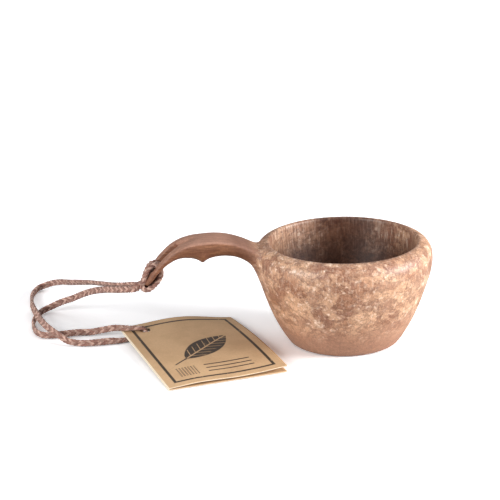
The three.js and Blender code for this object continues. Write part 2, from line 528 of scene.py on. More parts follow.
def new_group(name: str, inputs: dict[str, tuple], outputs: dict[str, str]) -> tuple:
    """Empty shader node group with named inputs and outputs.

    Args:
        name: Name of the group.
        inputs: Socket type and starting value by input name; None leaves the value.
        outputs: Socket type by output name.

    Returns:
        The group, its graph, its inputs by name as signals, and the node that its results feed.
    """
    tree = bpy.data.node_groups.new(name, "ShaderNodeTree")
    for key, (kind, value) in inputs.items():
        socket = tree.interface.new_socket(key, in_out="INPUT", socket_type=kind)
        if value is not None:
            socket.default_value = value
    for key, kind in outputs.items():
        tree.interface.new_socket(key, in_out="OUTPUT", socket_type=kind)
    graph = Graph(tree)
    entry = graph.node("NodeGroupInput")
    signals = {key: Signal(graph, entry.outputs[key]) for key in inputs}
    return tree, graph, signals, graph.node("NodeGroupOutput")


NUMBER, VECTOR = "NodeSocketFloat", "NodeSocketVector"


def blotch_group() -> bpy.types.NodeTree:
    """Group that lays soft-edged blotches of one given size over a surface.

    Returns:
        The group, with a Mask and the ridges between its blotches as Veins.
    """
    inputs = {
        "Vector": (VECTOR, None),
        "Scale": (NUMBER, 1.0),
        "Warp": (NUMBER, 1.0),
        "Low": (NUMBER, 0.45),
        "High": (NUMBER, 0.6),
    }
    tree, graph, given, leave = new_group("Blotches", inputs, {"Mask": NUMBER, "Veins": NUMBER})
    bend = graph.noise(given["Vector"], 0.6, 3.0, output="Color")
    bend = graph.scaled(graph.vector_math("SUBTRACT", bend, (0.5, 0.5, 0.5)), given["Warp"])
    place = graph.vector_math("ADD", given["Vector"], bend)
    value = graph.noise(place, given["Scale"], 6.0, 0.62)
    ridge = abs(value - 0.5).step(0.035, 0.0)
    graph.fill(leave, {"Mask": value.step(given["Low"], given["High"]), "Veins": ridge})
    return tree


def fibre_group() -> bpy.types.NodeTree:
    """Group of short pressed fibres.

    Returns:
        The group, with the fibres' Tone around 1 and their Height from 0 to 1.
    """
    inputs = {
        "Vector": (VECTOR, None),
        "Scale": (NUMBER, 10.0),
        "Strength": (NUMBER, 0.2),
    }
    tree, graph, given, leave = new_group("Fibres", inputs, {"Tone": NUMBER, "Height": NUMBER})
    scaled = graph.scaled(given["Vector"], given["Scale"])
    swirl = graph.noise(scaled, 0.35, 2.0, output="Color")
    swirl = graph.vector_math("MULTIPLY_ADD", swirl, (2.2, 2.2, 2.2), scaled)
    coarse = graph.noise(swirl, 1.0, 5.0, 0.7)
    fine = graph.noise(graph.stretched(swirl, (1.0, 1.0, 0.35)), 2.6, 3.0, 0.6)
    height = (coarse * 0.6 + fine * 0.4).step(0.3, 0.7)
    graph.fill(leave, {"Tone": (height - 0.5) * given["Strength"] + 1.0, "Height": height})
    return tree


# ---- finishes ------------------------------------------------------------------------------


def new_material(name: str) -> tuple[bpy.types.Material, Graph, bpy.types.Node]:
    """Material with an empty Principled surface.

    Args:
        name: Name of the material.

    Returns:
        The material, its graph and its Principled node.
    """
    material = bpy.data.materials.new(name)
    material.use_nodes = True
    material.node_tree.nodes.clear()
    graph = Graph(material.node_tree)
    shader = graph.node("ShaderNodeBsdfPrincipled")
    output = graph.node("ShaderNodeOutputMaterial")
    graph.feed(output.inputs["Surface"], shader.outputs["BSDF"])
    return material, graph, shader


@dataclass(frozen=True)
class BlotchLayer:
    """One layer of the burl figure: the size and edges of its blotches, and where it is read."""

    scale: float
    warp: float
    low: float
    high: float
    stretch: tuple[float, float, float] = (1.0, 1.0, 1.0)
    offset: tuple[float, float, float] = (0.0, 0.0, 0.0)


@dataclass(frozen=True)
class BurlWood:
    """Satin pressed wood with a mottled burl figure, painted shade inside the bowl and painted light on
    top of the handle.
    """

    blotches: bpy.types.NodeTree
    fibres: bpy.types.NodeTree
    pale: Colour = paint(226, 182, 148)
    cream: Colour = paint(248, 224, 204)
    middle: Colour = paint(178, 128, 98)
    dark: Colour = paint(98, 60, 44)
    mauve: Colour = paint(142, 98, 82)
    foot: Colour = paint(184, 138, 114)
    handle: Colour = paint(104, 62, 42)
    handle_pale: Colour = paint(164, 116, 84)
    # Lighter colour painted on the handle's upward faces as top light.
    painted_top_light: Colour = paint(182, 138, 118)
    # Colour multiplied in as painted shade inside the bowl.
    painted_inner_shade: Colour = paint(92, 58, 40)
    roughness: float = 0.4
    broad: BlotchLayer = BlotchLayer(0.55, 2.2, 0.4, 0.62)
    patch: BlotchLayer = BlotchLayer(1.1, 1.5, 0.47, 0.64, (1, 1, 1.2), (17, 5, 3))
    fleck: BlotchLayer = BlotchLayer(4.2, 0.8, 0.52, 0.66, (1, 1, 1), (3, 11, 7))
    vein: BlotchLayer = BlotchLayer(0.6, 1.6, 0.56, 0.4, (0.8, 0.8, 1.5), (9, 2, 13))

    def layer(self, graph: Graph, place: Signal, kind: BlotchLayer) -> dict[str, Signal]:
        """Places one layer of blotches.

        Args:
            graph: The material's graph.
            place: Object coordinates in centimetres.
            kind: The layer.

        Returns:
            Its Mask and its Veins.
        """
        vector = graph.stretched(place, kind.stretch, kind.offset)
        inputs = {"Vector": vector, "Scale": kind.scale, "Warp": kind.warp}
        return graph.group(self.blotches, {**inputs, "Low": kind.low, "High": kind.high})

    def figure(self, graph: Graph, place: Signal, height: Signal) -> Signal:
        """Mottled burl figure of the bowl.

        Args:
            graph: The material's graph.
            place: Object coordinates in centimetres.
            height: Height above the foot in centimetres.

        Returns:
            The colour, before the fibres.
        """
        broad, patch, fleck, vein = (
            self.layer(graph, place, kind) for kind in (self.broad, self.patch, self.fleck, self.vein)
        )
        plain = height.step(2.6, 0.2).flipped()
        fleck_share = fleck["Mask"] * (patch["Mask"] * 0.7 + 0.2) * plain
        colour = graph.mixed(broad["Mask"] * plain * 0.75, self.middle, self.pale)
        colour = graph.mixed(vein["Mask"] * plain * 0.55, colour, self.mauve)
        colour = graph.mixed(vein["Veins"] * plain * 0.4, colour, self.dark)
        colour = graph.mixed(patch["Mask"] * plain * 0.7, colour, self.pale)
        colour = graph.mixed(fleck_share, colour, self.cream)
        colour = graph.mixed(patch["Veins"] * 0.42, colour, self.dark)
        colour = graph.mixed(fleck["Veins"] * 0.3, colour, self.dark)
        return graph.mixed(plain.flipped() * 0.7, colour, self.foot)

    def streaks(self, graph: Graph, place: Signal) -> Signal:
        """Long grain of the handle, with painted light on its upward faces.

        Args:
            graph: The material's graph.
            place: Object coordinates in centimetres.

        Returns:
            The colour, before the fibres.
        """
        grain = graph.noise(graph.stretched(place, (0.8, 7.5, 7.5)), 1.0, 6.0, 0.65).step(0.32, 0.7)
        broad = graph.stretched(place, (0.5, 2.2, 2.2), (4, 4, 4))
        broad = graph.noise(broad, 1.0).step(0.38, 0.62)
        colour = graph.mixed(grain * 0.7, self.handle, self.handle_pale)
        colour = graph.mixed(broad * 0.4, colour, self.mauve)
        # Painted top light: faces of the handle that look up are mixed towards a lighter colour.
        _, _, up = graph.parts(graph.signal("ShaderNodeTexCoord", output="Normal"))
        return graph.mixed(up.step(0.35, 0.85) * (grain * 0.35 + 0.45), colour, self.painted_top_light)

    def material(self) -> bpy.types.Material:
        """Builds the material.

        Returns:
            The material, which reads the vertex value "inside".
        """
        material, graph, shader = new_material("burl_wood")
        place = graph.stretched(graph.placed(), (100, 100, 100))
        reach, _, height = graph.parts(place)
        speck = graph.group(self.fibres, {"Vector": place, "Scale": 7.0, "Strength": 0.45})
        on_handle = reach.step(-4.6, -5.5)
        inside = graph.attribute("inside")
        strokes = graph.noise(graph.stretched(place, (10, 10, 1.5)), 1.0, 4.0, 0.65)
        upright = height.step(2.5, 4.5) * (inside * 0.3 + 0.2)
        bowl = self.figure(graph, place, height)
        bowl = graph.mixed(strokes.step(0.5, 0.68) * upright, bowl, self.cream)
        bowl = graph.mixed(strokes.step(0.5, 0.34) * upright, bowl, self.dark)
        colour = graph.mixed(on_handle, bowl, self.streaks(graph, place))
        root = reach.step(-6.8, -5.7) * reach.step(-4.7, -5.2)
        colour = graph.mixed(root * 0.5, colour, self.dark)
        # Painted shade inside the bowl: darker deeper down and on the far wall, where the rim keeps the
        # light off.
        far_wall_shade = reach.step(-3.0, 0.0) * reach.step(3.4, 1.4)
        within = inside * (height.step(5.6, 3.6).most(far_wall_shade) * 0.6 + 0.28)
        shaded = graph.mixed(1.0, colour, self.painted_inner_shade, "MULTIPLY")
        colour = graph.mixed(within, colour, shaded)
        inputs = {
            "Base Color": graph.toned(colour, speck["Tone"]),
            "Roughness": speck["Height"] * 0.12 + self.roughness,
            "Normal": graph.bump(speck["Height"], 0.25, 0.12 * MM),
        }
        graph.fill(shader, inputs)
        return material


@dataclass(frozen=True)
class BraidedLace:
    """Yarn of a flat braid, with light and dark flecks."""

    main: Colour = paint(158, 108, 92)
    light: Colour = paint(228, 192, 174)
    dark: Colour = paint(88, 54, 46)

    def material(self) -> bpy.types.Material:
        """Builds the material.

        Returns:
            The material, which reads the vertex values "along", "around" and "yarn".
        """
        material, graph, shader = new_material("braided_lace")
        along = graph.attribute("along") * (1 / MM)
        around, yarn = graph.attribute("around"), graph.attribute("yarn")
        ply = graph.vector(along * 0.35 + around * 3.0, around * 4.0, yarn * 7.3)
        hair = graph.noise(ply, 2.4, 4.0, 0.65)
        patch = graph.noise(graph.vector(along * 0.3, yarn * 5.1, 0.0), 1.0, 2.0, 0.5)
        shade = yarn.math("MODULO", 2.0).step(0.2, 0.8)
        colour = graph.mixed(shade * 0.75, graph.mixed(0.25, self.main, self.dark), self.light)
        colour = graph.mixed(hair.step(0.45, 0.7) * 0.6, colour, self.light)
        colour = graph.mixed(hair.step(0.52, 0.3) * 0.7, colour, self.dark)
        colour = graph.mixed(patch.step(0.55, 0.4) * 0.5, colour, self.dark)
        inputs = {
            "Base Color": colour,
            "Roughness": 0.8,
            "Sheen Weight": 0.25,
            "Sheen Roughness": 0.5,
            "Normal": graph.bump(hair, 0.6, 0.2 * MM),
        }
        graph.fill(shader, inputs)
        return material


@dataclass(frozen=True)
class KraftCard:
    """Uncoated brown card with a plain dark print, pale cut edges and a painted highlight along the fold.
    """

    fibres: bpy.types.NodeTree
    width: float = 66.0
    length: float = 88.5
    board: Colour = paint(206, 170, 130)
    shade: Colour = paint(180, 143, 106)
    # Pale colour of the cut edges, also used for the painted highlight along the fold.
    edge: Colour = paint(250, 236, 212)
    ink: Colour = paint(26, 22, 24)
    roughness: float = 0.62
    margin: float = 5.5
    leaf_centre: tuple[float, float] = (35.0, 43.0)
    leaf_lean: float = 38.0
    leaf_half_length: float = 20.0
    leaf_half_width: float = 8.6
    vein_gap: float = 4.8
    dot_gap: float = 1.6
    rule_gap: float = 4.2

    def band(self, distance: Signal, half: float, soft: float = 0.12) -> Signal:
        """Line of ink where a distance is below half its width."""
        return distance.step(half + soft, half - soft)

    def frame_line(self, across: Signal, up: Signal) -> Signal:
        """Distance from a rectangle drawn a margin inside the leaf's edges.

        Args:
            across: Millimetres from the fold.
            up: Millimetres from the leaf's foot.

        Returns:
            The distance in millimetres.
        """
        wide = abs(across - self.width / 2) - (self.width / 2 - self.margin)
        tall = abs(up - self.length / 2) - (self.length / 2 - self.margin)
        return abs(wide.most(tall))

    def within(self, value: Signal, low: float, high: float, soft: float) -> Signal:
        """1 between two limits and 0 outside them, with soft ends inwards."""
        return value.step(low, low + soft) * value.step(high, high - soft)

    def leaf_ink(self, across: Signal, up: Signal) -> Signal:
        """Plain leaf with a midrib and side veins.

        Args:
            across: Millimetres from the fold.
            up: Millimetres from the leaf's foot.

        Returns:
            How much ink there is, from 0 to 1.
        """
        lean = math.radians(self.leaf_lean)
        x, y = across - self.leaf_centre[0], up - self.leaf_centre[1]
        along = x * math.cos(lean) + y * math.sin(lean)
        beside = y * math.cos(lean) - x * math.sin(lean)
        swell = (along * along * (-1 / self.leaf_half_length**2) + 1.0).most(0.0)
        blade = (swell * self.leaf_half_width - abs(beside)).step(-0.15, 0.15)
        rib = self.band(abs(beside), 0.45) * along.step(-21.0, -16.0)
        slant = (abs(beside) * 0.9 - along).math("WRAP", self.vein_gap / 2, -self.vein_gap / 2)
        veins = self.band(abs(slant), 0.28) * abs(beside).step(7.0, 5.5)
        stem = self.band(abs(beside + along * 0.06 + 1.1), 0.5)
        stem = stem * along.step(-29.0, -27.5) * along.step(-17.0, -19.0)
        return (blade * rib.most(veins).flipped()).most(stem)

    def print_ink(self, across: Signal, up: Signal) -> Signal:
        """The whole print: a frame line, a leaf, a dotted patch and three short rules.

        Args:
            across: Millimetres from the fold.
            up: Millimetres from the leaf's foot.

        Returns:
            How much ink there is, from 0 to 1.
        """
        frame_ink = self.band(self.frame_line(across, up), 0.8, 0.2)
        half = self.dot_gap / 2
        dots_x, dots_y = ((side - 11.0).math("WRAP", half, -half) for side in (across, up))
        dots = self.band((dots_x * dots_x + dots_y * dots_y).math("SQRT"), 0.5, 0.15)
        patch = self.within(across, 10.1, 21.5, 0.2) * self.within(up, 10.1, 21.5, 0.2)
        rule = (up - 12.0).math("WRAP", self.rule_gap / 2, -self.rule_gap / 2)
        rules = self.band(abs(rule), 0.55, 0.2)
        rules = rules * self.within(across, 26.0, 52.0, 0.4) * self.within(up, 10.3, 22.0, 0.2)
        return frame_ink.most(self.leaf_ink(across, up)).most(dots * patch).most(rules)

    def material(self) -> bpy.types.Material:
        """Builds the material.

        Returns:
            The material, which reads the vertex values "across", "up" and "outer".
        """
        material, graph, shader = new_material("kraft_card")
        across, up = graph.attribute("across"), graph.attribute("up")
        outer = graph.attribute("outer")
        place = graph.stretched(graph.placed(), (100, 100, 100))
        speck = graph.group(self.fibres, {"Vector": place, "Scale": 9.0, "Strength": 0.16})
        cloud = graph.noise(place, 0.8, 3.0, 0.5).step(0.35, 0.65)
        colour = graph.mixed(cloud * 0.35, self.board, self.shade)
        colour = graph.toned(colour, speck["Tone"])
        worn = graph.noise(place, 6.0, 4.0, 0.7).step(0.28, 0.4)
        ink = self.print_ink(across, up) * outer.step(0.6, 0.9) * across.step(0.0, 1.0) * worn
        colour = graph.mixed(ink * 0.93, colour, self.ink)
        # Pale cut edges, and a painted highlight along the fold.
        fold = abs(across).step(0.75, 0.3)
        cut = outer * outer.flipped() * 4.0
        colour = graph.mixed((fold * 0.8).most(cut), colour, self.edge)
        inputs = {
            "Base Color": colour,
            "Roughness": ink * -0.1 + self.roughness,
            "Normal": graph.bump(speck["Height"], 0.15, 0.1 * MM),
        }
        graph.fill(shader, inputs)
        return material


@dataclass(frozen=True)
class PaleFloor:
    """Plain, nearly white floor that throws back less light than it shows, and glows far out."""

    seen: Colour = (1.42, 1.42, 1.44, 1.0)
    bounced: Colour = (0.5, 0.49, 0.48, 1.0)

    def material(self) -> bpy.types.Material:
        """Builds the material."""
        material, graph, shader = new_material("pale_floor")
        tree = material.node_tree
        tree.nodes.remove(shader)
        output = next(node for node in tree.nodes if node.type == "OUTPUT_MATERIAL")
        seen = graph.node("ShaderNodeBsdfDiffuse", {"Color": self.seen})
        far = graph.signal("ShaderNodeVectorMath", {0: graph.placed()}, "Value", operation="LENGTH")
        glow = graph.node("ShaderNodeEmission", {"Strength": far.step(0.35, 1.2)})
        shown = graph.node("ShaderNodeAddShader", {0: seen.outputs[0], 1: glow.outputs[0]})
        bounced = graph.node("ShaderNodeBsdfDiffuse", {"Color": self.bounced})
        path = graph.node("ShaderNodeLightPath")
        inputs = {0: path.outputs["Is Camera Ray"], 1: bounced.outputs[0], 2: shown.outputs[0]}
        graph.feed(output.inputs["Surface"], graph.node("ShaderNodeMixShader", inputs).outputs[0])
        return material


# ---- studio --------------------------------------------------------------------------------


@dataclass(frozen=True)
class Softbox:
    """Area light: its name, its place and size in metres, and its power in watts."""

    name: str
    place: tuple[float, float, float]
    size: tuple[float, float]
    power: float


@dataclass
class Studio:
    """Camera, soft lights and floor."""

    eye: tuple[float, float, float] = (-0.1392, -0.9903, 0.381)
    yaw: float = -5.08
    pitch: float = 18.22
    roll: float = 1.32
    lens: float = 138.8
    floor_size: float = 8.0
    floor_height: float = -0.2 * MM
    ambient: float = 0.2
    aim: tuple[float, float, float] = (-0.03, 0.0, 0.03)
    softboxes: tuple[Softbox, ...] = (
        Softbox("light_right", (0.85, -0.3, 0.32), (0.55, 0.5), 17.0),
        Softbox("light_left", (-0.8, -0.55, 0.34), (0.55, 0.5), 9.0),
        Softbox("light_top", (0.1, 0.5, 1.1), (1.2, 0.9), 3.5),
    )

    def camera(self) -> None:
        """Adds the camera and makes it the scene's."""
        data = bpy.data.cameras.new("camera")
        data.lens = self.lens
        data.sensor_width = 36.0
        made = bpy.data.objects.new("camera", data)
        bpy.context.scene.collection.objects.link(made)
        turn = Matrix.Rotation(math.radians(self.yaw), 4, "Z")
        turn = turn @ Matrix.Rotation(math.radians(90 - self.pitch), 4, "X")
        turn = turn @ Matrix.Rotation(math.radians(-self.roll), 4, "Z")
        made.matrix_world = Matrix.Translation(self.eye) @ turn
        data.clip_start, data.clip_end = 0.01, 50.0
        bpy.context.scene.camera = made

    def light(self, box: Softbox) -> None:
        """Adds an area light that faces the cup.

        Args:
            box: The light.
        """
        data = bpy.data.lights.new(box.name, "AREA")
        data.shape = "RECTANGLE"
        data.size, data.size_y = box.size
        data.energy = box.power
        made = bpy.data.objects.new(box.name, data)
        bpy.context.scene.collection.objects.link(made)
        turn = (Vector(self.aim) - Vector(box.place)).to_track_quat("-Z", "Y")
        made.matrix_world = Matrix.Translation(box.place) @ turn.to_matrix().to_4x4()

    def build(self) -> None:
        """Adds the floor, the lights and the surroundings."""
        half, low = self.floor_size / 2, self.floor_height
        corners = [(-half, -half, low), (half, -half, low), (half, half, low), (-half, half, low)]
        floor = make_object("floor", make_mesh("floor", corners, [(0, 1, 2, 3)]))
        floor.data.materials.append(PaleFloor().material())
        for box in self.softboxes:
            self.light(box)
        world = bpy.data.worlds.new("surroundings")
        world.use_nodes = True
        sky = world.node_tree.nodes["Background"]
        sky.inputs["Color"].default_value = (1.0, 1.0, 1.0, 1.0)
        graph = Graph(world.node_tree)
        seen = graph.signal("ShaderNodeLightPath", output="Is Camera Ray")
        graph.feed(sky.inputs["Strength"], seen * (1.0 - self.ambient) + self.ambient)
        bpy.context.scene.world = world
        bpy.context.scene.view_settings.view_transform = "Standard"


# ---- lanyard -------------------------------------------------------------------------------


def braid_tree() -> bpy.types.NodeTree:
    """Geometry nodes that lay a flat braid of yarns along a line.

    The line's points carry "across" and "facing" vectors, "along" in metres and "squeeze".

    Returns:
        The tree.
    """
    tree = bpy.data.node_groups.new("Flat braid", "GeometryNodeTree")
    face = tree.interface
    face.new_socket("Line", in_out="INPUT", socket_type="NodeSocketGeometry")
    for name, kind in (
        ("Yarns", "NodeSocketInt"),
        ("Yarn radius", NUMBER),
        ("Half width", NUMBER),
        ("Half thickness", NUMBER),
        ("Pitch", NUMBER),
        ("Sides", "NodeSocketInt"),
        ("Finish", "NodeSocketMaterial"),
    ):
        face.new_socket(name, in_out="INPUT", socket_type=kind)
    face.new_socket("Braid", in_out="OUTPUT", socket_type="NodeSocketGeometry")
    graph = Graph(tree)
    entry = graph.node("NodeGroupInput").outputs

    def stored(name: str, kind: str = "FLOAT") -> Signal:
        """Value stored on the points under a name."""
        return graph.signal("GeometryNodeInputNamedAttribute", {"Name": name}, data_type=kind)

    line = graph.node("GeometryNodeMeshToCurve", {0: entry["Line"]})
    copies = graph.node(
        "GeometryNodeDuplicateElements",
        {"Geometry": line.outputs[0], "Amount": entry["Yarns"]},
        domain="SPLINE",
    )
    number = Signal(graph, copies.outputs["Duplicate Index"])
    named = graph.node(
        "GeometryNodeStoreNamedAttribute",
        {"Geometry": copies.outputs["Geometry"], "Name": "yarn", "Value": number},
        data_type="FLOAT",
        domain="CURVE",
    )
    yarn = stored("yarn")
    turn = stored("along") / entry["Pitch"] + yarn / entry["Yarns"]
    angle = turn * math.tau
    squeeze = stored("squeeze")
    sideways = angle.math("COSINE") * entry["Half width"] * squeeze
    outward = (angle * 2.0).math("SINE") * entry["Half thickness"]
    shift = graph.scaled(stored("across", "FLOAT_VECTOR"), sideways)
    lift = graph.scaled(stored("facing", "FLOAT_VECTOR"), outward)
    offset = graph.vector_math("ADD", shift, lift)
    laid = graph.node("GeometryNodeSetPosition", {"Geometry": named.outputs[0], "Offset": offset})
    size = {"Resolution": entry["Sides"], "Radius": entry["Yarn radius"]}
    ring = graph.node("GeometryNodeCurvePrimitiveCircle", size)
    about = graph.node("GeometryNodeSplineParameter")
    marked = graph.node(
        "GeometryNodeStoreNamedAttribute",
        {"Geometry": ring.outputs[0], "Name": "around", "Value": about.outputs["Factor"]},
        data_type="FLOAT",
        domain="POINT",
    )
    tube = graph.node(
        "GeometryNodeCurveToMesh",
        {"Curve": laid.outputs[0], "Profile Curve": marked.outputs[0], "Fill Caps": True},
    )
    real = graph.node("GeometryNodeRealizeInstances", {0: tube.outputs[0]})
    dress = {"Geometry": real.outputs[0], "Material": entry["Finish"]}
    dressed = graph.node("GeometryNodeSetMaterial", dress)
    leave = graph.node("NodeGroupOutput")
    graph.feed(leave.inputs["Braid"], dressed.outputs[0])
    return tree


@dataclass
class Lace:
    """Flat braided lace that can be laid along any line."""

    tree: bpy.types.NodeTree
    finish: bpy.types.Material
    yarns: int = 5
    yarn_radius: float = 0.68 * MM
    half_width: float = 1.32 * MM
    half_thickness: float = 0.36 * MM
    pitch: float = 10.5 * MM
    sides: int = 7
    step: float = 0.8 * MM

    def width(self) -> float:
        """Overall width."""
        return 2 * (self.half_width + self.yarn_radius)

    def reach_down(self, upright: Array) -> Array:
        """How far the lace reaches below its middle, by how upright its width stands."""
        flat = self.half_thickness + self.yarn_radius
        return flat + (self.width() / 2 - flat) * np.abs(upright)

    def lay(
        self, name: str, route: Array, fullness: float = 1.0
    ) -> tuple[bpy.types.Object, Array]:
        """Braids the lace along a route.

        Args:
            name: Name of the piece.
            route: Knots with the place in metres, the direction of the width, and the squeeze.
            fullness: How much thicker than usual the lace is, as in a knot.

        Returns:
            The piece, and the points of its centreline.
        """
        line = smooth_line(route, self.step)
        places = line[:, :3]
        tangents = np.gradient(places, axis=0)
        tangents /= np.linalg.norm(tangents, axis=1)[:, None]
        across = line[:, 3:6] - (line[:, 3:6] * tangents).sum(axis=1)[:, None] * tangents
        across /= np.linalg.norm(across, axis=1)[:, None]
        steps = np.linalg.norm(np.diff(places, axis=0), axis=1)
        edges = [(i, i + 1) for i in range(len(places) - 1)]
        mesh = make_mesh(name + "_line", places, [], edges)
        set_values(mesh, "across", across)
        set_values(mesh, "facing", np.cross(tangents, across))
        set_values(mesh, "along", np.concatenate([[0.0], np.cumsum(steps)]))
        set_values(mesh, "squeeze", line[:, 6])
        source = make_object(name + "_line", mesh)
        modifier = source.modifiers.new("braid", "NODES")
        modifier.node_group = self.tree
        values = {
            "Yarns": self.yarns,
            "Yarn radius": self.yarn_radius,
            "Half width": self.half_width,
            "Half thickness": self.half_thickness * fullness,
            "Pitch": self.pitch,
            "Sides": self.sides,
            "Finish": self.finish,
        }
        for item in self.tree.interface.items_tree:
            if item.in_out == "INPUT" and item.name in values:
                modifier[item.identifier] = values[item.name]
        piece = make_object(name, frozen(source, name))
        shade_smooth(piece.data)
        return piece, places


@dataclass
class Lanyard:
    """One length of lace: a cow hitch round the handle's end bar, and a loop through the tag."""

    lace: Lace
    hump: float = 0.9 * MM
    air: float = 0.2 * MM
    drawn_height: float = 1.35 * MM
    table_reach: float = 8.0 * MM
    knot_fullness: float = 2.2

    # Knots of the whole route that cross the front strand, and those that lie in or on the tag.
    HUMP = slice(13, 18)
    ON_TAG = slice(24, 34)
    # From the hitch back and down to the table, round to the left and under the tag.
    REAR = (
        (-112.9, 1.2, 37.0), (-115.3, 5.6, 35.8), (-119.6, 12.5, 33.2), (-125.6, 23.0, 30.0),
        (-132.0, 38.5, 25.6), (-138.3, 54.8, 21.0), (-144.2, 70.5, 16.0), (-150.4, 86.0, 11.0),
        (-156.6, 98.5, 6.4), (-162.8, 105.8, 3.0), (-168.2, 105.2, 1.4), (-171.9, 96.0, 1.4),
        (-172.9, 80.0, 1.9), (-171.9, 63.0, 3.4), (-169.4, 48.0, 4.3), (-166.0, 34.0, 4.3),
        (-162.3, 23.5, 4.3), (-158.0, 16.0, 3.6), (-152.4, 11.0, 1.9), (-146.0, 8.0, 1.35),
        (-138.5, 7.4, 1.35), (-130.0, 8.8, 1.35), (-122.0, 11.0, 1.35), (-115.0, 13.7, 1.35),
    )
    # Up through the hole in the tag and back over its corner.
    BIGHT = (
        (-112.6, 14.4, 1.35), (-110.7, 15.0, 1.5), (-109.2, 15.4, 2.4), (-108.7, 15.5, 3.7),
        (-109.1, 15.5, 5.2), (-110.6, 15.5, 6.1), (-112.6, 15.6, 6.4),
    )
    # Over the corner of the tag, down to the table, round and back up to the hitch.
    FRONT = (
        (-115.0, 15.7, 6.4), (-120.0, 16.4, 6.4), (-126.0, 18.3, 6.1), (-133.0, 21.6, 3.4),
        (-139.5, 24.2, 1.5), (-147.0, 24.9, 1.35), (-154.0, 23.8, 1.35), (-160.3, 22.6, 1.35),
        (-165.5, 23.4, 1.35), (-169.2, 28.0, 1.35), (-171.2, 36.5, 1.35), (-171.5, 46.0, 1.35),
        (-169.6, 56.0, 1.35), (-166.5, 63.0, 1.5), (-161.5, 66.4, 2.6), (-156.0, 65.6, 5.2),
        (-149.5, 60.4, 9.8), (-143.2, 52.2, 15.0), (-136.8, 41.0, 20.6), (-130.0, 26.8, 26.0),
        (-123.6, 13.6, 30.2), (-118.2, 4.4, 33.3), (-114.8, 0.4, 34.8), (-112.9, -0.9, 35.8),
    )
    # Direction of the lace's width, by knot of the whole route.
    LIE = (
        (0, (-0.75, -0.4, 0.55)), (5, (-0.7, -0.2, 0.65)), (8, (-0.3, -0.1, 0.95)), (10, (0.0, 0.0, 1.0)),
        (12, (0.0, 0.0, 1.0)), (14, (0.75, -0.2, 0.6)), (16, (0.6, -0.3, 0.7)), (19, (0.1, -0.1, 1.0)),
        (20, (0.0, 0.0, 1.0)), (21, (0.0, 0.5, 0.87)), (22, (0.0, 1.0, 0.15)), (31, (0.0, 1.0, 0.0)),
        (33, (0.0, 0.7, 0.7)), (36, (0.0, 0.2, 1.0)), (44, (0.0, 0.0, 1.0)), (49, (0.1, 0.1, 1.0)),
        (54, (0.0, 0.0, 1.0)),
    )
    # Cow hitch from the rear strand to the middle of its bight: reach, width, height.
    HITCH = (
        (113.8, 1.1, 36.5), (111.0, 1.2, 37.2), (109.5, 1.5, 39.4), (108.5, 1.8, 42.4),
        (107.1, 1.9, 45.6), (105.0, 1.9, 48.3), (102.4, 1.9, 48.7), (100.4, 1.9, 46.6),
        (99.8, 1.9, 43.6), (101.4, 1.9, 39.9), (103.8, 1.9, 37.2), (106.2, 2.1, 35.3),
        (108.4, 2.4, 34.8), (109.9, 2.4, 35.3), (110.5, 1.7, 36.7),
    )

    def loop_route(self) -> Array:
        """Knots of the loop, lifted where the lace stands on its edge or passes over itself.

        Returns:
            Rows of place, direction of the width, and squeeze.
        """
        places = np.array(self.REAR + self.BIGHT + self.FRONT) * MM
        numbers = [number for number, _ in self.LIE]
        ways = np.array([way for _, way in self.LIE])
        every = np.arange(len(places))
        lie = np.stack([np.interp(every, numbers, column) for column in ways.T], axis=1)
        lie /= np.linalg.norm(lie, axis=1)[:, None]
        rest = self.lace.reach_down(lie[:, 2]) + self.air
        on_table = places[:, 2] < self.table_reach
        on_table[self.ON_TAG] = False
        places[:, 2] += np.where(on_table, rest - self.drawn_height, 0.0)
        places[self.HUMP, 2] += self.hump
        return np.concatenate([places, lie, np.ones((len(places), 1))], axis=1)

    def hitch_route(self) -> Array:
        """Knots of the cow hitch, the same on both sides of the handle.

        Returns:
            Rows of place, direction of the width, and squeeze.
        """
        half = [(-reach, width, height, 0.0, 1.0, 0.0, 0.95) for reach, width, height in self.HITCH]
        half[0] = (*half[0][:3], 0.0, 0.1, 1.0, 0.95)
        half[1] = (*half[1][:3], 0.3, 0.4, 0.8, 0.9)
        half[2] = (*half[2][:3], 0.2, 1.0, 0.4, 0.9)
        half[-2] = (*half[-2][:3], 0.0, 1.0, 0.3, 0.8)
        half[-1] = (*half[-1][:3], 0.0, 0.7, 0.7, 0.8)
        middle = (-110.7, 0.0, 37.5, 0.0, 0.0, 1.0, 0.8)
        other = [(x, -y, z, a, -b, c, squeeze) for x, y, z, a, b, c, squeeze in reversed(half)]
        rows = np.array(half + [middle] + other)
        rows[:, :3] *= MM
        return rows

    def build(self) -> list[bpy.types.Object]:
        """Lays the loop and the hitch.

        Returns:
            The two pieces.
        """
        loop, line = self.lace.lay("lace_loop", self.loop_route())
        hitch, knot = self.lace.lay("lace_hitch", self.hitch_route(), self.knot_fullness)
        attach(loop, Body.LANYARD.value)
        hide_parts("cord_rear_strand", "cord_tag_bight", "cord_front_strand")
        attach(hitch, Body.CUP.value)
        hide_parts("cord_hitch")
        self.lace.width()
        return [loop, hitch]


# ---- cup -----------------------------------------------------------------------------------


